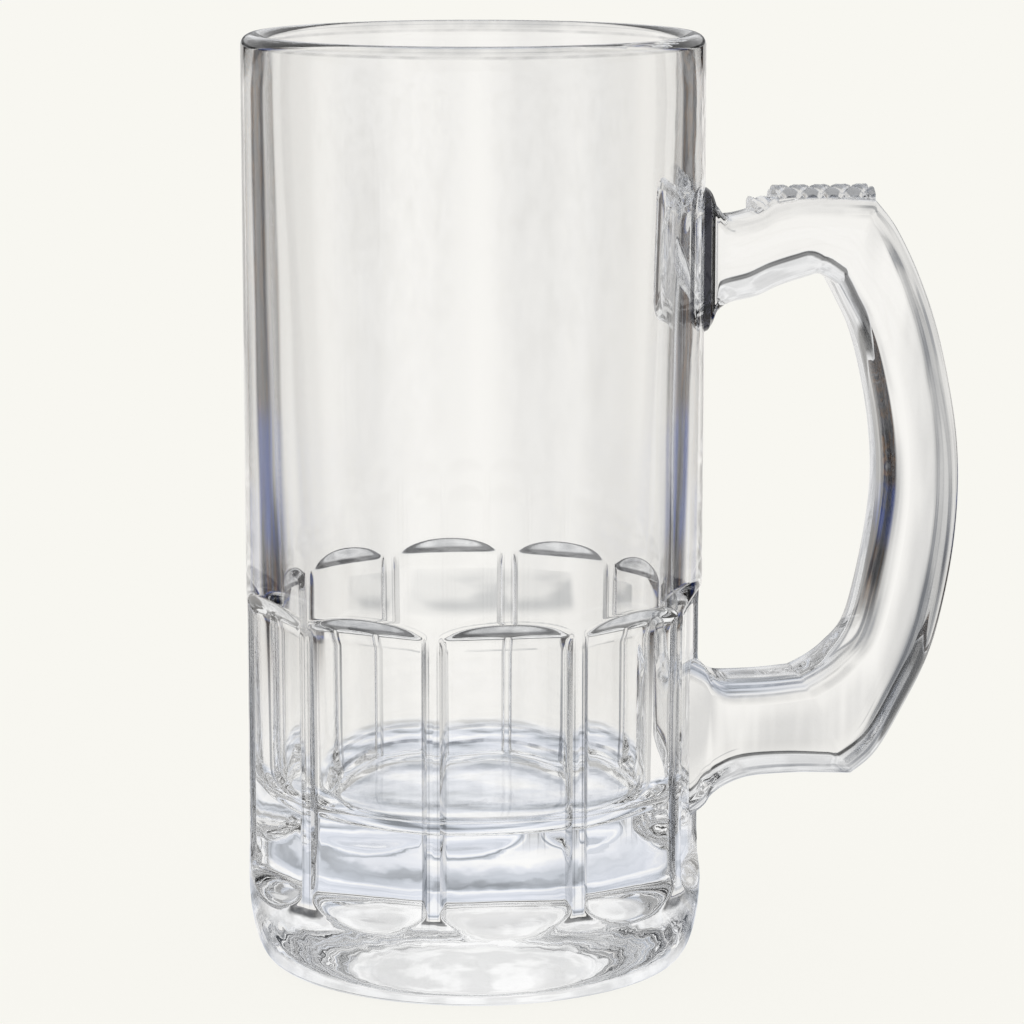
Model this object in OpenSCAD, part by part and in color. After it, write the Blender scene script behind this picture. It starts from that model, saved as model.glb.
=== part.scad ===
// Panelled one litre beer mug in clear pressed glass.
// A thick based tumbler carries ten flat panels with coved ends and a rib between each pair.
// A separately pressed handle, with a knurled thumb rest, is fused to the wall at two welds.
// The origin is the centre of the flat base, +Z is up and the handle points along +X.

/* [Tumbler] */
// Height from the table to the top of the lip
mug_h = 203; // [180:1:230]
// Outside diameter of the wall
body_d = 100; // [90:1:115]
// Thickness of the wall at the lip, which is fully rounded
lip_wall = 5; // [4:0.1:6]
// Thickness of the wall where it meets the floor, measured to the ribs
low_wall = 8; // [6.5:0.1:10]
// Thickness of solid glass under the drinking space
base_thick = 35.5; // [30:0.5:42]
// Radius of the corner between the inside wall and the floor
floor_fillet_r = 9; // [5:0.5:14]
// Height of the rounded heel
heel_h = 18; // [10:0.5:20]
// How far the heel draws in, from the wall to the flat of the foot
heel_w = 5.2; // [3:0.1:8]

/* [Panels] */
// Number of panels round the wall
panel_count = 10; // [8:1:12]
// Width of a rib between two panels
rib_w = 3.4; // [2.6:0.1:5]
// Step from the edge of a rib down to the flat of a panel
rib_step = 0.7; // [0.3:0.05:1.2]
// Height at which the flat of a panel begins
panel_foot_z = 26; // [24:0.1:32]
// Height at which the flat of a panel ends
panel_head_z = 77; // [70:0.1:95]
// Radius of the long cove at the foot of a panel
foot_cove_r = 16; // [8:0.1:22]
// Radius of the cove at the arched head of a panel
head_cove_r = 9; // [6:0.1:14]
// Radius of the small cove beside a rib
side_cove_r = 1.4; // [1.3:0.1:4]

/* [Handle] */
// Reach of the handle beyond the wall
handle_reach = 57.1; // [50:0.1:65]
// Height of the handle from its lower corner to the flat of its top arm
handle_h = 128.5; // [110:0.5:140]
// Height of the lower corner above the table
handle_foot_z = 38.3; // [36:0.1:46]
// Thickness of the handle from side to side
handle_t = 22; // [16:0.5:26]
// Radius of the rounding along the edges of the handle
handle_edge_r = 5; // [2:0.1:6]

/* [Thumb rest] */
// Distance between two points of the diamond knurl along the arm
knurl_pitch = 4.68; // [3.5:0.01:5.5]
// Height of the knurl over the arm
knurl_h = 2.6; // [1:0.1:3]
// Length of the knurled field, measured back from the corner of the handle
knurl_len = 21.5; // [12:0.5:24]
// Width of the knurled field
knurl_w = 12.4; // [8:0.1:13]
// Length of the single lower row near the tumbler
knurl_row_len = 4.7; // [3:0.1:6]
// Drop from the field to the lower row
knurl_drop = 2.4; // [1:0.1:4]

/* [Hidden] */
glass_clear = [0.86, 0.89, 0.89, 0.45];
glass_handle = [0.80, 0.84, 0.85, 0.55];
// Steps in which the curves of the profiles are drawn
round_steps = 8;
cove_steps = 8;
circle_fn = 96;
// How far every cutter runs past the glass that it cuts
overrun = 6;

body_r = body_d / 2;
lip_r = lip_wall / 2;
floor_r = body_r - low_wall;
half_pitch = 180 / panel_count;
// Half the angle of a panel between the edges of its two ribs
panel_half = half_pitch - asin(rib_w / 2 / body_r);
rib_edge_x = body_r * cos(panel_half);
rib_edge_y = body_r * sin(panel_half);
// Distance of the flat of a panel from the axis
panel_x = rib_edge_x - rib_step;
// Half the width of the flat between its side coves
panel_flat_y = rib_edge_y - sqrt(2 * side_cove_r * rib_step - rib_step * rib_step);
cut_x = body_r + overrun - panel_x;

// A quarter or half round about a centre, as points
function arc(cx, cy, rx, ry, from, to) = [
    for (i = [0 : round_steps])
        let (a = from + (to - from) * i / round_steps)
        [cx + rx * cos(a), cy + ry * sin(a)]
];

// The outer line of the tumbler, from the middle of the foot up over the round lip
lip_middle = [body_r - lip_r, mug_h - lip_r];
heel_line = arc(body_r - heel_w, heel_h, heel_w, heel_h, -90, 0);

// The tumbler filled up, which is what the handle is cut to
module outside() {
    rotate_extrude($fn = circle_fn)
        polygon(concat(
            [[0, 0]],
            heel_line,
            arc(lip_middle[0], lip_middle[1], lip_r, lip_r, 0, 90),
            [[0, mug_h]]
        ));
}

// The tumbler with its drinking space, before the panels are pressed in
module plain_tumbler() {
    rotate_extrude($fn = circle_fn)
        polygon(concat(
            [[0, 0]],
            heel_line,
            arc(lip_middle[0], lip_middle[1], lip_r, lip_r, 0, 180),
            arc(floor_r - floor_fillet_r, base_thick + floor_fillet_r,
                floor_fillet_r, floor_fillet_r, 0, -90),
            [[0, base_thick]]
        ));
}

// How far a cove turns before it leaves the cutter, in degrees
function cove_turn(r) = r > cut_x ? acos((r - cut_x) / r) : 90;

// A cove that leaves the flat at a given place and rises outwards, as points
function cove(r, place, side) = [
    for (i = [0 : cove_steps])
        let (a = cove_turn(r) * i / cove_steps)
        [panel_x + r * (1 - cos(a)), place + side * r * sin(a)]
];

// A flat between two places with a cove at each end, drawn outwards from the flat
module coved_flat(low, low_r, high, high_r) {
    high_end = cove(high_r, high, 1);
    low_end = cove(low_r, low, -1);
    polygon(concat(
        high_end,
        [[panel_x + cut_x, high_end[cove_steps][1]], [panel_x + cut_x, low_end[cove_steps][1]]],
        [for (i = [cove_steps : -1 : 0]) low_end[i]]
    ));
}

// One panel is what both sections leave. The round wall turns its ends into arches.
module panel_cutter() {
    intersection() {
        translate([0, 0, panel_foot_z - foot_cove_r])
            linear_extrude(height = panel_head_z + head_cove_r - panel_foot_z + foot_cove_r)
                coved_flat(-panel_flat_y, side_cove_r, panel_flat_y, side_cove_r);
        rotate([90, 0, 0])
            linear_extrude(height = 2 * body_r, center = true)
                coved_flat(panel_foot_z, foot_cove_r, panel_head_z, head_cove_r);
    }
}

module panel_cutters() {
    for (i = [0 : panel_count - 1])
        rotate([0, 0, half_pitch * (2 * i + 1)])
            panel_cutter();
}

module body() {
    color(glass_clear)
        difference() {
            plain_tumbler();
            panel_cutters();
        }
}

// Stations of the handle from the upper weld round to the lower one. Each row holds
// a point of the outer line and its partner on the inner line, as shares of the reach
// beyond the wall and of the handle's height above its lower corner.
top_arm_shares = [
    [-0.070, 1.033, -0.070, 0.772],
    [0.009, 1.019, 0.009, 0.784],
    [0.040, 0.992, 0.040, 0.810],
    [0.091, 0.969, 0.091, 0.826],
    [0.193, 0.975, 0.193, 0.836],
    [0.280, 0.993, 0.280, 0.853],
    [0.385, 1.000, 0.377, 0.866],
    [0.508, 1.000, 0.440, 0.872],
    [0.657, 0.997, 0.508, 0.855]
];
grip_shares = [
    [0.657, 0.997, 0.508, 0.855],
    [0.743, 0.947, 0.553, 0.817],
    [0.839, 0.860, 0.606, 0.768],
    [0.918, 0.756, 0.651, 0.698],
    [0.981, 0.620, 0.690, 0.605],
    [1.000, 0.515, 0.704, 0.511],
    [0.989, 0.410, 0.686, 0.422],
    [0.951, 0.304, 0.643, 0.321],
    [0.893, 0.208, 0.595, 0.251],
    [0.806, 0.127, 0.517, 0.212],
    [0.692, 0.040, 0.455, 0.192],
    [0.588, 0.000, 0.385, 0.176]
];
low_arm_shares = [
    [0.588, 0.000, 0.385, 0.176],
    [0.391, 0.005, 0.271, 0.172],
    [0.193, 0.002, 0.158, 0.171],
    [0.093, -0.012, 0.079, 0.173],
    [0.032, -0.030, 0.032, 0.186],
    [0.000, -0.049, 0.000, 0.202],
    [-0.070, -0.072, -0.070, 0.218]
];
// Steps between two stations, and in each rounded edge of a section
station_steps = 2;
edge_steps = 3;

// A point of a smooth curve through b and c, with a and d as its neighbours
function spline(a, b, c, d, t) =
    (2 * b + t * (c - a) + t * t * (2 * a - 5 * b + 4 * c - d)
        + t * t * t * (3 * b - a - 3 * c + d)) / 2;

// All stations of one run, smoothed. The runs meet in the handle's two sharp corners.
function smooth(rows) = [
    for (i = [0 : len(rows) - 2], s = [0 : station_steps - 1])
        spline(rows[max(i - 1, 0)], rows[i], rows[i + 1],
            rows[min(i + 2, len(rows) - 1)], s / station_steps)
];
stations = concat(
    smooth(top_arm_shares),
    smooth(grip_shares),
    smooth(low_arm_shares),
    [low_arm_shares[len(low_arm_shares) - 1]]
);

function handle_x(share) = body_r + share * handle_reach;
function handle_z(share) = handle_foot_z + share * handle_h;

// The section between an outer and an inner point: a rectangle with rounded edges
function ring(row) =
    let (
        outer = [handle_x(row[0]), handle_z(row[1])],
        inner = [handle_x(row[2]), handle_z(row[3])],
        middle = (outer + inner) / 2,
        way = (outer - inner) / norm(outer - inner),
        half_deep = norm(outer - inner) / 2 - handle_edge_r,
        half_wide = handle_t / 2 - handle_edge_r
    )
    [
        for (corner = [0 : 3], s = [0 : edge_steps])
            let (
                a = 90 * (corner + s / edge_steps),
                deep = half_deep * (corner == 0 || corner == 3 ? 1 : -1) + handle_edge_r * cos(a),
                wide = half_wide * (corner < 2 ? 1 : -1) + handle_edge_r * sin(a)
            )
            [middle[0] + way[0] * deep, wide, middle[1] + way[1] * deep]
    ];

module handle_bar() {
    side = 4 * (edge_steps + 1);
    last = len(stations) - 1;
    points = [for (row = stations) each ring(row)];
    walls = [
        for (k = [0 : last - 1], i = [0 : side - 1])
            let (
                a = k * side + i,
                b = k * side + (i + 1) % side
            )
            each [[a, b, b + side], [a, b + side, a + side]]
    ];
    first_cap = [for (i = [0 : side - 1]) side - 1 - i];
    last_cap = [for (i = [0 : side - 1]) last * side + i];
    polyhedron(points, concat(walls, [first_cap, last_cap]));
}

// The field ends where the flat of the top arm turns down into the grip
corner_x = handle_x(grip_shares[0][0]);
// Width of one groove of the knurl, across the groove
groove_w = knurl_pitch / sqrt(2);
groove_count = ceil((knurl_len + knurl_w) / knurl_pitch);

// V grooves across both diagonals leave a diamond of four sided points
module knurl_block(length, sink) {
    difference() {
        translate([-length, -knurl_w / 2, -sink])
            cube([length, knurl_w, sink + knurl_h]);
        for (turn = [45, -45], i = [-groove_count : groove_count])
            rotate([0, 0, turn])
                translate([(i + 0.5) * groove_w, 0, 0])
                    rotate([90, 0, 0])
                        linear_extrude(height = 2 * (knurl_len + knurl_w), center = true)
                            polygon([[0, 0], [groove_w / 2, knurl_h], [groove_w / 2, knurl_h + overrun],
                                [-groove_w / 2, knurl_h + overrun], [-groove_w / 2, knurl_h]]);
    }
}

module handle() {
    color(glass_handle)
        difference() {
            union() {
                handle_bar();
                translate([corner_x, 0, handle_z(1)])
                    knurl_block(knurl_len, knurl_drop);
                translate([corner_x - knurl_len, 0, handle_z(1) - knurl_drop])
                    knurl_block(knurl_row_len, knurl_drop);
            }
            difference() {
                outside();
                panel_cutters();
            }
        }
}

body();
handle();
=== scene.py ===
from math import asin, atan2, cos, pi, radians, sin, sqrt

import bmesh
import bpy
from mathutils import Matrix, Vector


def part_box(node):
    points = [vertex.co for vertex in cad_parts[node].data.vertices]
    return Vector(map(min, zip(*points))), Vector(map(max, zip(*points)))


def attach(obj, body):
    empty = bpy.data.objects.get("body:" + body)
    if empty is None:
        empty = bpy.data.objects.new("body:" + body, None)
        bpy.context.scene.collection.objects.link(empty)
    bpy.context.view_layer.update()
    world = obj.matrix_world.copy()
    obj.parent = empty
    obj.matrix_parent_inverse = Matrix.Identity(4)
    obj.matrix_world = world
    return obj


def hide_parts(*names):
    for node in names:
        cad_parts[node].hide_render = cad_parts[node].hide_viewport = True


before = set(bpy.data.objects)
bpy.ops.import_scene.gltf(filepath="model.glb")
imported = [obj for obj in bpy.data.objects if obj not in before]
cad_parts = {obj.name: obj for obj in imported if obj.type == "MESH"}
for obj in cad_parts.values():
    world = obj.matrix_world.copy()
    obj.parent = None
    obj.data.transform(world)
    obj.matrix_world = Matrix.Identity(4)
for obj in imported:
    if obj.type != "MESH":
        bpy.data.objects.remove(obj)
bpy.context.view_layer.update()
MM = 0.001

# Sizes of the tumbler
tumbler_low, tumbler_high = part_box("body")
wall_r = (tumbler_high[1] - tumbler_low[1]) / 2
mug_h = tumbler_high[2]
lip_r = 2.5 * MM
floor_r = wall_r - 8 * MM
floor_z = 35.5 * MM
floor_fillet_r = 9 * MM
heel_h = 18 * MM
heel_w = 5.2 * MM

# Sizes of the panels
panel_count = 10
rib_w = 3.4 * MM
rib_step = 0.7 * MM
panel_foot_z = 26 * MM
panel_head_z = 77 * MM
foot_cove_r = 16 * MM
head_cove_r = 9 * MM
side_cove_r = 1.4 * MM
# Widths over which the pressed edges are rounded off. The ribs' width passes into the arches'
# over a run beyond the panel's flat
soft_rib = 1.8 * MM
soft_arch = 0.5 * MM
soft_run = 4 * MM

# Columns of the tumbler's mesh, and how much closer they stand at the ribs than on the panels
columns_per_panel = 40
column_crowding = 0.6
# Rows of the mesh up the outer line: on the heel, at the foot of the panels, on their middle, at
# their heads, on the smooth wall and on the lip. Then down the inner line
heel_rows = 24
foot_rows = 26
panel_rows = 16
head_rows = 28
wall_rows = 14
lip_rows = 10
inner_wall_rows = 16
fillet_rows = 20
# The close rows at both ends of the panels reach this far on to the flat
row_margin = 1 * MM

half_pitch = pi / panel_count
panel_half = half_pitch - asin(rib_w / 2 / wall_r)
panel_x = wall_r * cos(panel_half) - rib_step
panel_flat_y = wall_r * sin(panel_half) - sqrt(2 * side_cove_r * rib_step - rib_step ** 2)

# Sizes of the handle
handle_reach = 57.1 * MM
handle_foot_z = 38.3 * MM
handle_h = 128.5 * MM
handle_t = 22 * MM
handle_edge_r = 5 * MM
# Steps of the mesh round an edge, and from one station to the next
handle_edge_steps = 6
station_steps = 6

# Stations of the handle: outer point, then its partner on the inner line, as shares of
# the reach beyond the wall and of the height above the lower corner
top_arm_shares = [
    (-0.070, 1.033, -0.070, 0.772),
    (0.009, 1.019, 0.009, 0.784),
    (0.040, 0.992, 0.040, 0.810),
    (0.091, 0.969, 0.091, 0.826),
    (0.193, 0.975, 0.193, 0.836),
    (0.280, 0.993, 0.280, 0.853),
    (0.385, 1.000, 0.377, 0.866),
    (0.508, 1.000, 0.440, 0.872),
    (0.657, 0.997, 0.508, 0.855),
]
grip_shares = [
    (0.657, 0.997, 0.508, 0.855),
    (0.743, 0.947, 0.553, 0.817),
    (0.839, 0.860, 0.606, 0.768),
    (0.918, 0.756, 0.651, 0.698),
    (0.981, 0.620, 0.690, 0.605),
    (1.000, 0.515, 0.704, 0.511),
    (0.989, 0.410, 0.686, 0.422),
    (0.951, 0.304, 0.643, 0.321),
    (0.893, 0.208, 0.595, 0.251),
    (0.806, 0.127, 0.517, 0.212),
    (0.692, 0.040, 0.455, 0.192),
    (0.588, 0.000, 0.385, 0.176),
]
low_arm_shares = [
    (0.588, 0.000, 0.385, 0.176),
    (0.391, 0.005, 0.271, 0.172),
    (0.193, 0.002, 0.158, 0.171),
    (0.093, -0.012, 0.079, 0.173),
    (0.032, -0.030, 0.032, 0.186),
    (0.000, -0.049, 0.000, 0.202),
    (-0.070, -0.072, -0.070, 0.218),
]

# Where the top arm ends in the handle's upper sharp corner
corner_x = wall_r + grip_shares[0][0] * handle_reach

# The glass runs out sideways at the upper weld
weld_flare = 2 * MM

# Sizes of the thumb rest: a field of lozenges, with one lower row before it. The row lies a
# drop below the field, and the lozenges are longer across the rest by the stretch
knurl_pitch = 4.68 * MM
knurl_h = 2.6 * MM
knurl_len = 21.5 * MM
knurl_w = 12.4 * MM
knurl_row_len = 4.7 * MM
knurl_drop = 2.4 * MM
knurl_cuts = 6
lozenge_h = 1.1 * MM
lozenge_stretch = 2
lozenge_power = 2.5
lozenge_soft = 0.3
trim_tolerance = 0.0001 * MM

merge_distance = 0.001 * MM
crease_angle = 40


# Shader maths

class Value:
    """A number on a node tree that takes part in Python expressions."""

    def __init__(self, tree, socket):
        self.tree = tree
        self.socket = socket

    def work(self, operation, *numbers):
        """The result of one maths node. Its inputs are given in their order."""
        inputs = dict(enumerate(numbers))
        node = add_node(self.tree, "ShaderNodeMath", {"operation": operation}, inputs)
        return Value(self.tree, node.outputs[0])

    def __add__(self, other):
        return self.work("ADD", self, other)

    def __radd__(self, other):
        return self.work("ADD", other, self)

    def __sub__(self, other):
        return self.work("SUBTRACT", self, other)

    def __rsub__(self, other):
        return self.work("SUBTRACT", other, self)

    def __mul__(self, other):
        return self.work("MULTIPLY", self, other)

    def __rmul__(self, other):
        return self.work("MULTIPLY", other, self)

    def __truediv__(self, other):
        return self.work("DIVIDE", self, other)

    def size(self):
        return self.work("ABSOLUTE", self)

    def at_least(self, low):
        return self.work("MAXIMUM", self, low)

    def at_most(self, high):
        return self.work("MINIMUM", self, high)

    def turn_over(self, run):
        """The angle of a point that is this far up and run along."""
        return self.work("ARCTAN2", self, run)

    def from_whole(self):
        """The distance to the nearest whole number."""
        return self.work("PINGPONG", self, 0.5)

    def rise(self, start, end):
        """Goes smoothly from 0 at start to 1 at end."""
        node = add_node(self.tree, "ShaderNodeMapRange", {"interpolation_type": "SMOOTHSTEP"},
                        {0: self, 1: start, 2: end, 3: 0, 4: 1})
        return Value(self.tree, node.outputs[0])

    def fall(self, start, end):
        """Goes smoothly from 1 at start to 0 at end."""
        return 1 - self.rise(start, end)

    def span(self, first_step, last_step):
        """Rises from 0 to 1 over the first soft step and falls to 0 over the last one."""
        return self.rise(*first_step) * self.fall(*last_step)

    def lines(self, rows):
        """Adds up soft lines. A row has a line's middle, the half widths of its core and of
        the whole line, and its strength."""
        total = 0
        for middle, half_core, half_line, strength in rows:
            total = total + (self - middle).size().fall(half_core, half_line) * strength
        return total


def add_node(tree, kind, settings=None, inputs=None):
    """Adds a node, sets its settings first and then the values or links of its sockets."""
    node = tree.nodes.new(kind)
    for name, value in (settings or {}).items():
        if name == "stops":
            ramp = node.color_ramp
            while len(ramp.elements) < len(value):
                ramp.elements.new(0.5)
            for element, (place, colour) in zip(ramp.elements, value):
                element.position = place
                element.color = colour
        else:
            setattr(node, name, value)
    for name, value in (inputs or {}).items():
        if isinstance(value, Value):
            value = value.socket
        if isinstance(value, bpy.types.NodeSocket):
            tree.links.new(value, node.inputs[name])
        else:
            node.inputs[name].default_value = value
    return node


def colour_mix(tree, share, first, second):
    """The first colour where the share is 0 and the second where it is 1."""
    node = add_node(tree, "ShaderNodeMix", {"data_type": "RGBA"}, {
        "Factor": share, 6: first, 7: second})
    return node.outputs[2]


def colour_ramp(tree, value, stops):
    """The colour of the stops at a value."""
    return add_node(tree, "ShaderNodeValToRGB", {"stops": stops}, {"Fac": value}).outputs[0]


def stretched(tree, vector, scale):
    """A vector with its three parts scaled."""
    mapping = add_node(tree, "ShaderNodeMapping", None, {"Vector": vector, "Scale": scale})
    return mapping.outputs[0]


def soft_noise(tree, vector, scale, detail):
    """Noise that goes smoothly up and down about 0.5."""
    texture = add_node(tree, "ShaderNodeTexNoise", None, {
        "Vector": vector, "Scale": scale, "Detail": detail})
    return Value(tree, texture.outputs[0])


def new_material(name):
    material = bpy.data.materials.new(name)
    material.use_nodes = True
    tree = material.node_tree
    tree.nodes.clear()
    return material, tree


# Materials. A step is the start and end of a smooth rise or fall

clear_tone = (0.995, 0.995, 0.99, 1)
glass_ior = 1.52
least_roughness = 0.003
roughness_spread = 0.008


class GlassSurface:
    """The nodes that both kinds of pressed glass share: places on the object and slow waves."""

    def __init__(self, name):
        self.material, self.tree = new_material(name)
        self.place = self.add("ShaderNodeTexCoord").outputs["Object"]
        parts = self.add("ShaderNodeSeparateXYZ", None, {"Vector": self.place})
        self.x = Value(self.tree, parts.outputs["X"])
        self.y = Value(self.tree, parts.outputs["Y"])
        self.z = Value(self.tree, parts.outputs["Z"])

    def add(self, kind, settings=None, inputs=None):
        return add_node(self.tree, kind, settings, inputs)

    def vector_work(self, operation, *vectors):
        """One vector maths node. Its inputs are given in their order."""
        inputs = dict(enumerate(vectors))
        return self.add("ShaderNodeVectorMath", {"operation": operation}, inputs)

    def noise(self, scale, detail, stretch=(1, 1, 1)):
        return soft_noise(self.tree, stretched(self.tree, self.place, stretch), scale, detail)

    def finish(self, shade, shaded, relief_mm, frost):
        """Clear glass that takes the tone of its painted shade where shade is 1 and is matt by its
        frost.
        """
        tint = colour_mix(self.tree, shade, clear_tone, shaded)
        bump = self.add("ShaderNodeBump", None, {
            "Height": relief_mm, "Strength": 1, "Distance": 1 * MM})
        wear = self.noise(scale=25, detail=3)
        roughness = least_roughness + wear * roughness_spread + frost
        glass = self.add("ShaderNodeBsdfPrincipled", None, {
            "Base Color": tint, "Roughness": roughness, "IOR": glass_ior,
            "Transmission Weight": 1, "Normal": bump.outputs[0]})
        self.add("ShaderNodeOutputMaterial", None, {"Surface": glass.outputs[0]})
        return self.material


# Painted shade on the tumbler, in place of the dark lines that the glass shows by bending light.
# A row of lines has a middle, two half widths and a strength. The bead lines run up the rounded
# sides of the ribs, at a distance from a rib's middle. The others go round at their heights
tumbler_painted_shade_tone = (0.12, 0.13, 0.15, 1)
outside_step = (44.5 * MM, 45.5 * MM)
panel_steps = ((12 * MM, 20 * MM), (92 * MM, 96 * MM))
steep_step = (0.055, 0.16)
flank_grey = 0.7
bead_steps = ((16 * MM, 24 * MM), (75 * MM, 81 * MM))
bead_lines = ((0.9 * MM, 0.08 * MM, 0.22 * MM, 1), (2.5 * MM, 0.10 * MM, 0.28 * MM, 1))
between_lines = ((0.9 * MM, 1.1 * MM), (2.2 * MM, 2.6 * MM))
between_grey = 0.4
floor_lines = ((37.5 * MM, 0.2 * MM, 0.5 * MM, 0.9), (40.5 * MM, 0.2 * MM, 0.5 * MM, 0.6))
lip_lines = ((200.8 * MM, 0.1 * MM, 0.5 * MM, 0.5),)
streak_step = (0.35, 0.65)
streak_least = 0.45
band_step = (0.42, 0.60)
band_grey = 0.09
# Relief of the tumbler: slow waves all over, and ripples on the foot and at the upper weld
foot_step = (25 * MM, 70 * MM)
weld_x_step = (38 * MM, 44 * MM)
weld_y_step = (12 * MM, 20 * MM)
weld_z_step = (125 * MM, 135 * MM)
ripple_share = 0.7
tumbler_wave_mm = 0.12
tumbler_ripple_mm = 0.06


def tumbler_glass():
    """Clear fire polished glass with painted shade. The steep flanks that the mould presses beside
    the ribs and at the panels' ends are painted a little grey. Thin dark lines are painted along
    the ribs, round the edge of the inner floor and round the lip. The foot and the glass at the
    upper weld have finer ripples."""
    surface = GlassSurface("tumbler_glass_with_painted_shade")
    flat_out = surface.vector_work("MULTIPLY", surface.place, (1, 1, 0)).outputs[0]
    out = surface.vector_work("NORMALIZE", flat_out).outputs[0]
    radius = Value(surface.tree, surface.vector_work("LENGTH", flat_out).outputs["Value"])
    normal = surface.add("ShaderNodeNewGeometry").outputs["Normal"]
    facing_out = surface.vector_work("DOT_PRODUCT", out, normal).outputs["Value"]
    steepness = 1 - Value(surface.tree, facing_out).size()
    outside = radius.rise(*outside_step)
    # Painted shade: grey on the steep flanks, dark lines along the ribs, round the inner floor's
    # edge and round the lip
    flanks = steepness.rise(*steep_step) * outside * surface.z.span(*panel_steps) * flank_grey
    pitches = surface.y.turn_over(surface.x) * (panel_count / (2 * pi))
    from_rib = pitches.from_whole() * (2 * pi / panel_count * wall_r)
    bead_shade = from_rib.lines(bead_lines) + from_rib.span(*between_lines) * between_grey
    bead_shade = bead_shade * outside * surface.z.span(*bead_steps)
    ring_shade = surface.z.lines(floor_lines) * (1 - outside) + surface.z.lines(lip_lines)
    streaks = surface.noise(scale=160, detail=2, stretch=(1, 1, 0.12)).rise(*streak_step)
    grey = (flanks + bead_shade + ring_shade).at_most(1) * (streak_least + streaks * (1 - streak_least))
    bands = surface.noise(scale=50, detail=1, stretch=(1, 1, 0.02)).rise(*band_step) * band_grey
    foot = surface.z.fall(*foot_step)
    weld = surface.x.rise(*weld_x_step) * surface.y.size().fall(*weld_y_step)
    weld = weld * surface.z.rise(*weld_z_step)
    chilled = (foot * ripple_share + weld * ripple_share).at_most(1)
    waves = surface.noise(scale=55, detail=1, stretch=(1, 1, 0.3)) * tumbler_wave_mm
    ripples = surface.noise(scale=190, detail=1.5) * chilled * tumbler_ripple_mm
    return surface.finish((grey + bands).at_most(1), tumbler_painted_shade_tone, waves + ripples, 0)


# Painted shade on the handle, by how it faces the viewer, which goes from 0 in front to 1 at its
# outline
handle_painted_shade_tone = (0.16, 0.17, 0.19, 1)
edge_step = (0.03, 0.12)
edge_grey = 0.22
edge_lines = ((0.05, 0.005, 0.025, 0.5), (0.28, 0.03, 0.09, 0.7))
outline_step = (0.62, 0.85)
outline_grey = 0.8
edge_shade_mottle_step = (0.30, 0.62)
# The upper arm has paler lines of painted shade
upper_arm_z_step = (115 * MM, 130 * MM)
upper_arm_x_step = (80 * MM, 86 * MM)
upper_arm_paler = 0.75
# The grey band of painted shade on the outer side of the grip, which is bowed about its middle
grip_x = 98.5 * MM
grip_middle_z = 104.5 * MM
grip_bow = 5
outer_side_step = (1 * MM, 4 * MM)
outer_side_steps = ((40 * MM, 46 * MM), (155 * MM, 165 * MM))
outer_lines = ((0.08, 0.015, 0.035, 0.9),)
outer_band_steps = ((0.08, 0.12), (0.35, 0.60))
outer_band_grey = 0.35
outer_shade_mottle_step = (0.40, 0.60)
outer_shade_mottle_least = 0.5
# Painted shade on the knurl, greyest on the tops of its lozenges
knurl_z_step = (166.8 * MM, 167.2 * MM)
lozenge_top_step = (0.07, 0.17)
groove_grey = 0.15
knurl_frost = 0.07
handle_wave_mm = 0.35
handle_ripple_mm = 0.01
# The black line of painted shade where the upper weld's near side meets the wall, wider near both
# ends
weld_painted_black = (0.0005, 0.0005, 0.001, 1)
meniscus_middle_z = 154 * MM
meniscus_end_step = (11 * MM, 16 * MM)
meniscus_widening = 3 * MM
meniscus_x_step = (50.7 * MM, 51.0 * MM)
meniscus_y_step = (0, 2 * MM)
meniscus_z_step = (125 * MM, 130 * MM)


def handle_glass():
    """The same glass with the handle's slow waves. Its rounded edges, the outer side of its grip
    and its knurl have grey painted shade, and a black line of painted shade runs at the upper
    weld."""
    surface = GlassSurface("handle_glass_with_painted_shade")
    facing = Value(surface.tree, surface.add("ShaderNodeLayerWeight").outputs["Facing"])
    edge_shade_mottle = surface.noise(scale=140, detail=2, stretch=(1, 1, 0.15))
    upper_arm = surface.z.rise(*upper_arm_z_step) * surface.x.fall(*upper_arm_x_step)
    # Painted shade: grey lines along the rounded edges and at the outline, broken up by noise
    lines = facing.lines(edge_lines) + facing.rise(*outline_step) * outline_grey
    lines = lines * edge_shade_mottle.rise(*edge_shade_mottle_step) * (1 - upper_arm * upper_arm_paler)
    from_middle = surface.z - grip_middle_z
    past_grip = surface.x - grip_x + from_middle * from_middle * grip_bow
    outer_side = past_grip.rise(*outer_side_step) * surface.z.span(*outer_side_steps)
    outer_band = facing.lines(outer_lines) + facing.span(*outer_band_steps) * outer_band_grey
    outer_shade_mottle = outer_shade_mottle_least + edge_shade_mottle.rise(*outer_shade_mottle_step) * (1 - outer_shade_mottle_least)
    outer_band = outer_band * outer_side * outer_shade_mottle
    # Painted shade on the knurl's lozenges
    along = surface.x - corner_x
    across = surface.y * (1 / lozenge_stretch)
    from_grooves = [(way * (1 / knurl_pitch)).from_whole()
                    for way in (along + across, across - along)]
    tops = from_grooves[0].at_most(from_grooves[1]).rise(*lozenge_top_step)
    knurl = surface.z.rise(*knurl_z_step) * (groove_grey + tops * (1 - groove_grey))
    # A black line of painted shade at the upper weld
    near_ends = (surface.z - meniscus_middle_z).size().rise(*meniscus_end_step)
    weld_shade_line = (surface.x - near_ends * meniscus_widening).fall(*meniscus_x_step)
    weld_shade_line = weld_shade_line * surface.z.rise(*meniscus_z_step) * surface.y.fall(*meniscus_y_step)
    shade = facing.rise(*edge_step) * edge_grey + lines + outer_band + knurl + weld_shade_line
    shaded = colour_mix(surface.tree, weld_shade_line, handle_painted_shade_tone, weld_painted_black)
    waves = surface.noise(scale=60, detail=1, stretch=(1, 1, 0.3)) * handle_wave_mm
    ripples = surface.noise(scale=220, detail=1) * handle_ripple_mm
    return surface.finish(shade.at_most(1), shaded, waves + ripples, knurl * knurl_frost)


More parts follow.
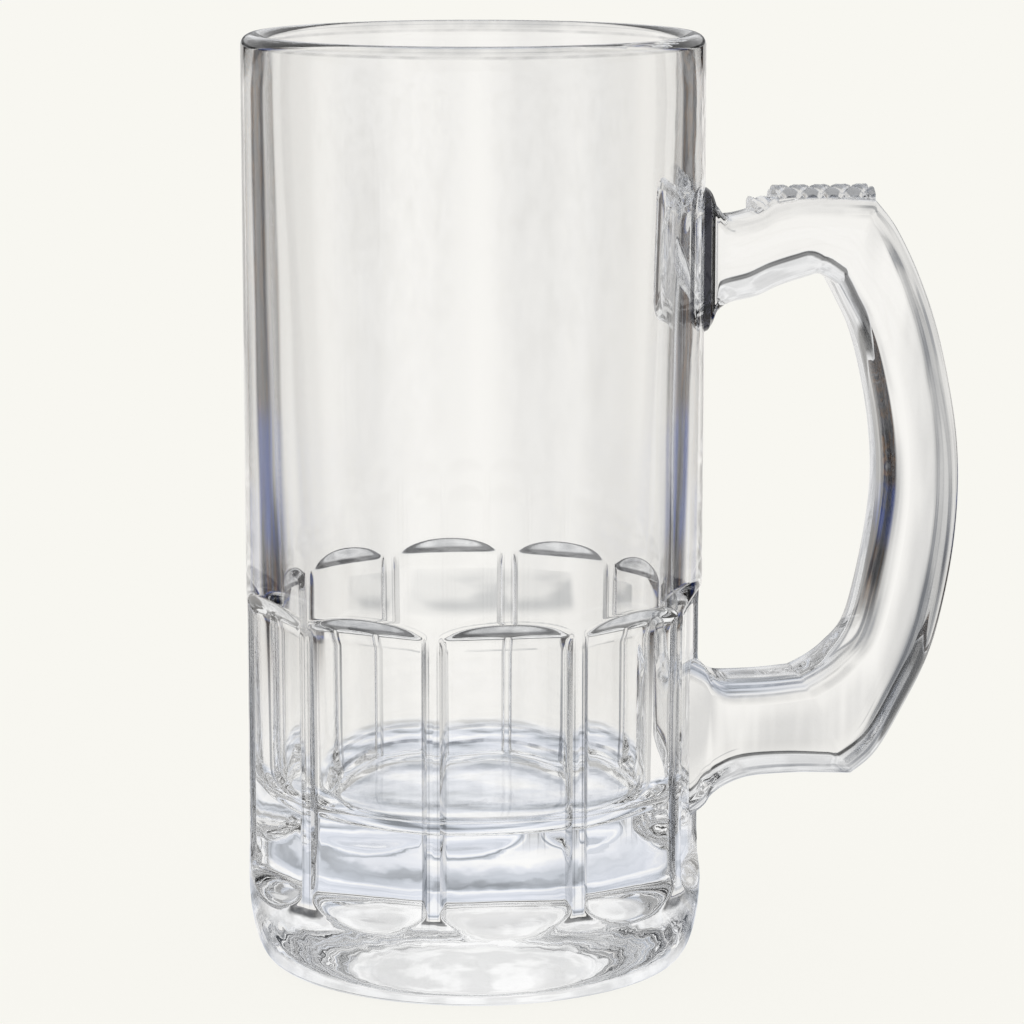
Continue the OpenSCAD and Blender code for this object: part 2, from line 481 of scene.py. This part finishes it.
def weld_glass():
    """The hidden face inside a weld, where the glass of both pieces runs on unbroken."""
    material, tree = new_material("weld_glass")
    clear = add_node(tree, "ShaderNodeBsdfTransparent", None, {"Color": (1, 1, 1, 1)})
    add_node(tree, "ShaderNodeOutputMaterial", None, {"Surface": clear.outputs[0]})
    return material


# Making and joining meshes

def finish_mesh(bm, name, materials, material_index=0):
    """Turns a bmesh into an object with smooth, outward faces."""
    bmesh.ops.recalc_face_normals(bm, faces=bm.faces)
    for face in bm.faces:
        face.smooth = True
        face.material_index = material_index
    mesh = bpy.data.meshes.new(name)
    bm.to_mesh(mesh)
    bm.free()
    for material in materials:
        mesh.materials.append(material)
    piece = bpy.data.objects.new(name, mesh)
    bpy.context.scene.collection.objects.link(piece)
    return piece


def cut_or_join(piece, other, operation):
    """Cuts or joins two closed pieces. New faces keep the material of the piece they come from."""
    change = piece.modifiers.new(operation, "BOOLEAN")
    change.operation = operation
    change.object = other
    change.solver = "EXACT"
    change.material_mode = "TRANSFER"
    bpy.context.view_layer.update()
    graph = bpy.context.evaluated_depsgraph_get()
    mesh = bpy.data.meshes.new_from_object(piece.evaluated_get(graph), depsgraph=graph)
    piece.modifiers.clear()
    old = piece.data
    piece.data = mesh
    mesh.name = piece.name
    bpy.data.meshes.remove(old)


def crease(piece):
    piece.data.set_sharp_from_angle(angle=radians(crease_angle))


def remove(piece):
    mesh = piece.data
    bpy.data.objects.remove(piece)
    bpy.data.meshes.remove(mesh)


# The tumbler

def quarter(middle, rx, rz, start, end, steps):
    """Points of an arc in the plane of the profile, from one angle to another."""
    turns = [radians(start + (end - start) * i / steps) for i in range(steps + 1)]
    return [(middle[0] + rx * cos(t), middle[1] + rz * sin(t)) for t in turns]


def between(low, high, steps):
    """Even steps strictly between two sizes."""
    return [low + (high - low) * i / steps for i in range(1, steps)]


def outer_line():
    """The outer line from the middle of the foot to the top of the lip, with close rows
    where the panels begin and end."""
    heel = quarter((wall_r - heel_w, heel_h), heel_w, heel_h, -90, 0, heel_rows)
    line = [(0, 0)] + heel[:-1]
    foot_edge = panel_foot_z + row_margin
    head_edge = panel_head_z - row_margin
    head_top = panel_head_z + head_cove_r
    for low, high, steps in ((heel_h, foot_edge, foot_rows), (foot_edge, head_edge, panel_rows),
                             (head_edge, head_top, head_rows),
                             (head_top, mug_h - lip_r, wall_rows)):
        line.append((wall_r, low))
        line += [(wall_r, z) for z in between(low, high, steps)]
    return line + quarter((wall_r - lip_r, mug_h - lip_r), lip_r, lip_r, 0, 90, lip_rows)


def inner_line():
    """The inner line from the top of the lip down to the middle of the drinking space."""
    line = quarter((wall_r - lip_r, mug_h - lip_r), lip_r, lip_r, 90, 180, lip_rows)[1:]
    top_r, top_z = line[-1]
    low_z = floor_z + floor_fillet_r
    line += zip(between(top_r, floor_r, inner_wall_rows), between(top_z, low_z, inner_wall_rows))
    line += quarter((floor_r - floor_fillet_r, low_z), floor_fillet_r, floor_fillet_r, 0, -90,
                    fillet_rows)
    return line + [(0, floor_z)]


def cove_depth(radius, run):
    """How far a cove has risen at a run beyond the edge of its flat."""
    if run <= 0:
        return 0
    if run >= radius:
        return radius
    return radius - sqrt(radius ** 2 - run ** 2)


def panel_radius(turn, z):
    """Distance of the panel's surface from the axis, at a turn from the panel's middle. The
    side cove is found in a few rounds, because it depends on the distance itself."""
    below = cove_depth(foot_cove_r, panel_foot_z - z)
    above = cove_depth(head_cove_r, z - panel_head_z)
    along = max(below, above)
    across = 0
    for _ in range(6):
        radius = (panel_x + max(along, across)) / cos(turn)
        across = cove_depth(side_cove_r, radius * abs(sin(turn)) - panel_flat_y)
    return radius


def soft_min(a, b, width):
    """The smaller of two sizes, rounded off where they meet."""
    near = max(width - abs(a - b), 0)
    return min(a, b) - near ** 2 / (4 * width)


def make_tumbler(name, line, materials, material_index=0):
    """Spins a line about the axis, crowds the columns at the ribs and presses in the panels."""
    middle_r = 1 * MM
    skin = 3 * MM
    bm = bmesh.new()
    verts = [bm.verts.new((r, 0, z)) for r, z in line]
    edges = [bm.edges.new(pair) for pair in zip(verts, verts[1:])]
    bmesh.ops.spin(bm, geom=verts + edges, cent=(0, 0, 0), axis=(0, 0, 1), angle=2 * pi,
                   steps=panel_count * columns_per_panel, use_merge=True, use_duplicate=False)
    bmesh.ops.remove_doubles(bm, verts=bm.verts, dist=merge_distance)
    low_reach = panel_foot_z - foot_cove_r
    high_reach = panel_head_z + head_cove_r
    for vert in bm.verts:
        radius = Vector(vert.co.xy).length
        if radius < middle_r:
            continue
        turn = atan2(vert.co.y, vert.co.x)
        turn -= column_crowding * sin(panel_count * turn) / panel_count
        if radius > wall_r - skin and low_reach < vert.co.z < high_reach:
            from_middle = (turn % (2 * half_pitch)) - half_pitch
            beyond = max(panel_foot_z - vert.co.z, vert.co.z - panel_head_z, 0)
            width = soft_arch + (soft_rib - soft_arch) * max(1 - beyond / soft_run, 0)
            radius = soft_min(radius, panel_radius(from_middle, vert.co.z), width)
        vert.co.x = radius * cos(turn)
        vert.co.y = radius * sin(turn)
    return finish_mesh(bm, name, materials, material_index)


# The handle

def spline(a, b, c, d, t):
    """A point of a smooth curve through b and c, with a and d as its neighbours."""
    return tuple((2 * q + t * (r - p) + t * t * (2 * p - 5 * q + 4 * r - s)
                  + t ** 3 * (3 * q - p - 3 * r + s)) / 2 for p, q, r, s in zip(a, b, c, d))


def smooth(rows):
    """All stations of one run. The runs meet in the handle's two sharp corners."""
    last = len(rows) - 1
    return [spline(rows[max(i - 1, 0)], rows[i], rows[i + 1], rows[min(i + 2, last)],
                   step / station_steps)
            for i in range(last) for step in range(station_steps)]


def handle_section(row):
    """The section between an outer and an inner point: a rectangle with rounded edges."""
    outer = Vector((wall_r + row[0] * handle_reach, 0, handle_foot_z + row[1] * handle_h))
    inner = Vector((wall_r + row[2] * handle_reach, 0, handle_foot_z + row[3] * handle_h))
    middle = (outer + inner) / 2
    way = (outer - inner).normalized()
    half_deep = (outer - inner).length / 2 - handle_edge_r
    half_wide = handle_t / 2 - handle_edge_r
    if middle.z > mug_h / 2:
        half_wide += cove_depth(weld_flare, weld_flare - max(middle.x - wall_r, 0))
    points = []
    for corner, (deep_side, wide_side) in enumerate(((1, 1), (-1, 1), (-1, -1), (1, -1))):
        for step in range(handle_edge_steps + 1):
            turn = radians(90 * (corner + step / handle_edge_steps))
            deep = half_deep * deep_side + handle_edge_r * cos(turn)
            wide = half_wide * wide_side + handle_edge_r * sin(turn)
            points.append(middle + way * deep + Vector((0, wide, 0)))
    return points


def make_bar(name, materials, material_index=0):
    """Extrudes the handle's section from the upper weld round to the lower one."""
    runs = smooth(top_arm_shares) + smooth(grip_shares) + smooth(low_arm_shares)
    rows = runs + [low_arm_shares[-1]]
    bm = bmesh.new()
    ring = [bm.verts.new(p) for p in handle_section(rows[0])]
    edges = [bm.edges.new((ring[i], ring[(i + 1) % len(ring)])) for i in range(len(ring))]
    bm.faces.new(ring)
    for row in rows[1:]:
        grown = bmesh.ops.extrude_edge_only(bm, edges=edges)["geom"]
        edges = [e for e in grown if isinstance(e, bmesh.types.BMEdge)
                 and all(v in grown for v in e.verts)]
        new_verts = [v for v in grown if isinstance(v, bmesh.types.BMVert)]
        followers = {}
        for vert in new_verts:
            for edge in vert.link_edges:
                old = edge.other_vert(vert)
                if old in ring:
                    followers[ring.index(old)] = vert
        ring = [followers[i] for i in range(len(ring))]
        for vert, point in zip(ring, handle_section(row)):
            vert.co = point
    bm.faces.new(ring)
    return finish_mesh(bm, name, materials, material_index)


def make_knurl(name, length, end_x, base_z, materials):
    """A crowned field of rounded lozenges, on a block that sinks into the arm."""
    side = knurl_pitch / sqrt(2)
    points = 2 * int((knurl_len + knurl_w) / knurl_pitch) + 2
    bm = bmesh.new()
    bmesh.ops.create_grid(bm, x_segments=points * knurl_cuts, y_segments=points * knurl_cuts,
                          size=points * side / 2)
    for vert in bm.verts:
        rise = [1 - abs(2 * ((place / side) % 1) - 1) ** lozenge_power for place in vert.co.xy]
        vert.co.z = lozenge_h * soft_min(rise[0], rise[1], lozenge_soft)
    bmesh.ops.rotate(bm, verts=bm.verts, cent=(0, 0, 0), matrix=Matrix.Rotation(pi / 4, 3, "Z"))
    bmesh.ops.scale(bm, verts=bm.verts, vec=(1, lozenge_stretch, 1))
    half_w = knurl_w / 2
    sides = (((0, 0, 0), (1, 0, 0)), ((-length, 0, 0), (-1, 0, 0)),
             ((0, half_w, 0), (0, 1, 0)), ((0, -half_w, 0), (0, -1, 0)))
    for middle, outwards in sides:
        everything = bm.verts[:] + bm.edges[:] + bm.faces[:]
        bmesh.ops.bisect_plane(bm, geom=everything, plane_co=middle, plane_no=outwards,
                               clear_outer=True, dist=trim_tolerance)
    for vert in bm.verts:
        share = min(abs(2 * vert.co.y / knurl_w), 1)
        vert.co.z += (knurl_h - lozenge_h) * sqrt(1 - share ** 2)
    border = [e for e in bm.edges if e.is_boundary]
    grown = bmesh.ops.extrude_edge_only(bm, edges=border)["geom"]
    skirt = [v for v in grown if isinstance(v, bmesh.types.BMVert)]
    for vert in skirt:
        vert.co.z = -knurl_drop
    bmesh.ops.holes_fill(bm, edges=[e for e in bm.edges if e.is_boundary], sides=0)
    bmesh.ops.translate(bm, verts=bm.verts, vec=(end_x, 0, base_z))
    return finish_mesh(bm, name, materials)


def make_mug():
    """Both pieces of glass, with the faces inside their welds cut to the same lines."""
    weld = weld_glass()
    tumbler_materials = [tumbler_glass(), weld]
    handle_materials = [handle_glass(), weld]
    tumbler = make_tumbler("tumbler_glass", outer_line() + inner_line(), tumbler_materials)
    handle = make_bar("handle_glass", handle_materials)
    top_z = handle_foot_z + handle_h
    field = make_knurl("knurl_field", knurl_len, corner_x, top_z, handle_materials)
    row = make_knurl("knurl_row", knurl_row_len, corner_x - knurl_len, top_z - knurl_drop,
                     handle_materials)
    for part in (field, row):
        cut_or_join(handle, part, "UNION")
        remove(part)
    filled = make_tumbler("filled_tumbler", outer_line() + [(0, mug_h)], handle_materials, 1)
    cut_or_join(handle, filled, "DIFFERENCE")
    remove(filled)
    socket = make_bar("weld_socket", tumbler_materials, 1)
    cut_or_join(tumbler, socket, "DIFFERENCE")
    remove(socket)
    crease(tumbler)
    crease(handle)
    for piece, node, slot in ((tumbler, "body", "body_glass"),
                              (handle, "handle", "handle_glass")):
        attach(piece, "root")
        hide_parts(node)


# The studio

view_width_mm = 36
lens_mm = 143.5
camera_turn = 98
camera_distance = 0.880
camera_height = 0.2562
camera_tilt = 10.16
aim_turn = 0.54


def make_camera():
    """The photograph's view: the handle lies 98 degrees round from the side that faces it."""
    side = radians(-camera_turn)
    camera = bpy.data.objects.new("camera", bpy.data.cameras.new("camera"))
    camera.data.lens = lens_mm
    camera.data.sensor_width = view_width_mm
    camera.data.clip_end = 100
    camera.location = (camera_distance * cos(side), camera_distance * sin(side), camera_height)
    heading = side + pi / 2 - radians(aim_turn)
    camera.rotation_euler = (radians(90 - camera_tilt), 0, heading)
    bpy.context.scene.collection.objects.link(camera)
    bpy.context.scene.camera = camera


def view_parts(tree, vector):
    """A vector turned to the photograph's view, and its parts: sideways, behind and up."""
    turned = add_node(tree, "ShaderNodeMapping", None, {
        "Vector": vector, "Rotation": (0, 0, radians(camera_turn - 90))}).outputs[0]
    parts = add_node(tree, "ShaderNodeSeparateXYZ", None, {"Vector": turned})
    return turned, [Value(tree, parts.outputs[axis]) for axis in "XYZ"]


def seen_directly(tree):
    """Is 1 where the camera or a matt surface looks, and 0 for what the glass shows."""
    path = add_node(tree, "ShaderNodeLightPath").outputs
    direct = Value(tree, path["Is Camera Ray"]) + Value(tree, path["Is Diffuse Ray"])
    return direct.at_most(1)


# The floor that the glass shows, in metres from the mug's axis. The paper widens away from the
# camera, with a dark room past both its edges that is paler far out
paper_tone = (0.945, 0.93, 0.90, 1)
paper_spread = 0.42
left_step = (0.05, 0.12)
right_step = (0.08, 0.15)
room_step = (0.24, 0.36)
far_out_slope = 0.85
far_out_step = (0.05, 0.20)
far_out_distance_step = (0.42, 0.55)
far_out_paler = 0.6
in_front_step = (0.10, 0.30)
# Streaks of grey in the room, which fan out from the mug, and a blue cloth
fan_start = 0.1
fan_scale = 9
fan_length_scale = 3
room_stops = (
    (0.34, (0.02, 0.022, 0.025, 1)),
    (0.44, (0.10, 0.10, 0.11, 1)),
    (0.49, (0.035, 0.035, 0.04, 1)),
    (0.55, (0.17, 0.11, 0.07, 1)),
    (0.60, (0.05, 0.05, 0.055, 1)),
    (0.68, (0.22, 0.22, 0.23, 1)))
cloth_tone = (0.02, 0.07, 0.30, 1)
cloth_steps = ((0.40, 0.45), (0.60, 0.68))
cloth_folds_step = (0.4, 0.55)
cloth_share = 0.8
# Blotches of painted shadow and caustic light right under the mug, which the thick base shows
under_shadow_step = (0.09, 0.17)
under_shadow_stops = (
    (0.36, (0.20, 0.22, 0.25, 1)),
    (0.44, (0.55, 0.59, 0.66, 1)),
    (0.52, (0.80, 0.83, 0.91, 1)),
    (0.60, (1, 1, 1, 1)))
# Patches on the camera's side, which the heel shows, with an even tone straight in front
near_stops = (
    (0.36, (0.40, 0.40, 0.42, 1)),
    (0.43, (0.60, 0.62, 0.66, 1)),
    (0.52, (0.90, 0.91, 0.95, 1)),
    (0.60, (0.70, 0.72, 0.78, 1)),
    (0.68, (1, 1, 1, 1)))
straight_tone = (0.92, 0.93, 0.95, 1)
straight_step = (0.18, 0.32)
straight_share = 0.85
# A grey band of painted shadow on the floor behind the mug, mottled by noise, that the far panels
# show
shadow_row_tone = (0.22, 0.24, 0.26, 1)
shadow_row_steps = ((0.330, 0.350), (0.385, 0.410))
shadow_row_side_step = (0.060, 0.075)
shadow_row_share = 0.5
shadow_row_mottle_step = (0.35, 0.65)
shadow_row_mottle_least = 0.3
# The floor itself
floor_tone = (0.94, 0.93, 0.88, 1)
floor_glow = 0.94
stage_r = 12
stage_sides = 96
stage_drop = 0.15 * MM


def dark_room(tree, sideways, behind, distance):
    """The mottled greys and the cloth of the room beside the paper."""
    fan = sideways / (behind.at_least(0) + fan_start)
    streaks = add_node(tree, "ShaderNodeCombineXYZ", None, {
        0: fan * fan_scale, 1: distance * fan_length_scale})
    mottle = soft_noise(tree, streaks.outputs[0], scale=1, detail=3)
    greys = colour_ramp(tree, mottle, room_stops)
    cloth = distance.span(*cloth_steps) * mottle.rise(*cloth_folds_step)
    return colour_mix(tree, cloth * cloth_share, greys, cloth_tone)


def floor_in_glass(tree, place):
    """The colour that the glass shows of the floor at a place."""
    turned, (sideways, behind, _) = view_parts(tree, place)
    length = add_node(tree, "ShaderNodeVectorMath", {"operation": "LENGTH"}, {0: place})
    distance = Value(tree, length.outputs["Value"])
    flattened = stretched(tree, turned, (0.5, 1.6, 1))
    in_front = (0 - behind).rise(*in_front_step)

    # A grey band of painted shadow on the floor behind the mug
    shadow_mottle = soft_noise(tree, flattened, scale=14, detail=2).rise(*shadow_row_mottle_step)
    row = behind.span(*shadow_row_steps) * shadow_row_share * (shadow_row_mottle_least + shadow_mottle * (1 - shadow_row_mottle_least))
    row = row * sideways.size().fall(*shadow_row_side_step)
    paper = colour_mix(tree, row, paper_tone, shadow_row_tone)

    spread = behind.at_least(0) * paper_spread
    past_left = (0 - sideways - spread).rise(*left_step)
    past_right = (sideways - spread).rise(*right_step)
    far_out = (sideways.size() - behind * far_out_slope).rise(*far_out_step)
    far_out = far_out * distance.rise(*far_out_distance_step)
    dark = (past_left + past_right).at_most(1) * distance.rise(*room_step) * (1 - in_front)
    dark = dark * (1 - far_out * far_out_paler)
    far_side = colour_mix(tree, dark, paper, dark_room(tree, sideways, behind, distance))

    patches = colour_ramp(tree, soft_noise(tree, turned, scale=5, detail=4), near_stops)
    straight = sideways.size().fall(*straight_step) * straight_share
    near_side = colour_mix(tree, straight, patches, straight_tone)
    around = colour_mix(tree, in_front, far_side, near_side)

    # Blotches of painted shadow and caustic light under the mug
    under = colour_ramp(tree, soft_noise(tree, flattened, scale=26, detail=4), under_shadow_stops)
    return colour_mix(tree, distance.fall(*under_shadow_step), around, under)


def make_floor():
    """One wide pale floor. The glass shows it as white paper behind and under the mug, with
    blotches of painted shadow and caustic light under the mug and a band of painted shadow behind
    it, and as a darker room at both sides of the paper, which draws the glass's dark lines."""
    material, tree = new_material("pale_floor")
    place = add_node(tree, "ShaderNodeTexCoord").outputs["Object"]
    in_glass = add_node(tree, "ShaderNodeEmission", None, {"Color": floor_in_glass(tree, place)})
    matt = add_node(tree, "ShaderNodeBsdfDiffuse", None, {"Color": floor_tone})
    glow = add_node(tree, "ShaderNodeEmission", None, {"Color": floor_tone})
    plain = add_node(tree, "ShaderNodeMixShader", None, {
        0: floor_glow, 1: matt.outputs[0], 2: glow.outputs[0]})
    both = add_node(tree, "ShaderNodeMixShader", None, {
        0: seen_directly(tree), 1: in_glass.outputs[0], 2: plain.outputs[0]})
    add_node(tree, "ShaderNodeOutputMaterial", None, {"Surface": both.outputs[0]})
    bm = bmesh.new()
    bmesh.ops.create_circle(bm, cap_ends=True, segments=stage_sides, radius=stage_r)
    bmesh.ops.translate(bm, verts=bm.verts, vec=(0, 0, -stage_drop))
    floor = finish_mesh(bm, "floor", [material])


# The room above the floor that the glass shows, by directions as parts of a unit vector
room_light = 0.40
ceiling_step = (0.72, 0.88)
left_window_line = ((-0.72, 0.10, 0.22, 1),)
right_window_line = ((0.60, 0.06, 0.16, 1),)
window_front_step = (0.1, 0.3)
back_step = (0.3, 0.6)
horizon_steps = ((-0.01, 0.01), (0.07, 0.13))
horizon_dark = 0.75
wall_cloud_step = (0.42, 0.58)
wall_least = 0.7


def make_world():
    """An even white room. The glass shows a white ceiling, a white wall behind with a dark
    strip at its foot, two bright windows in front, and grey in between."""
    world = bpy.data.worlds.new("studio")
    world.use_nodes = True
    bpy.context.scene.world = world
    tree = world.node_tree
    tree.nodes.clear()
    way = add_node(tree, "ShaderNodeTexCoord").outputs["Generated"]
    _, (sideways, behind, up) = view_parts(tree, way)
    windows = sideways.lines(left_window_line) + sideways.lines(right_window_line)
    windows = windows * (0 - behind).rise(*window_front_step)
    backwards = behind.rise(*back_step)
    clouds = soft_noise(tree, way, scale=7, detail=3).rise(*wall_cloud_step)
    back_wall = backwards * (wall_least + clouds * (1 - wall_least))
    bright = (up.rise(*ceiling_step) + windows + back_wall).at_most(1)
    horizon = backwards * up.span(*horizon_steps)
    room = room_light + bright * (1 - room_light) - horizon * horizon_dark
    strength = room + (1 - room) * seen_directly(tree)
    sky = add_node(tree, "ShaderNodeBackground", None, {
        "Color": (1, 1, 1, 1), "Strength": strength})
    add_node(tree, "ShaderNodeOutputWorld", None, {"Surface": sky.outputs[0]})


# Long light paths: the glass mirrors light many times inside itself
most_bounces = 32
most_mirrorings = 16


def make_studio():
    make_world()
    make_floor()
    bpy.context.scene.view_settings.view_transform = "Standard"
    cycles = bpy.context.scene.cycles
    cycles.max_bounces = most_bounces
    cycles.transmission_bounces = most_bounces
    cycles.glossy_bounces = most_mirrorings
    cycles.transparent_max_bounces = most_bounces


make_mug()
make_camera()
make_studio()
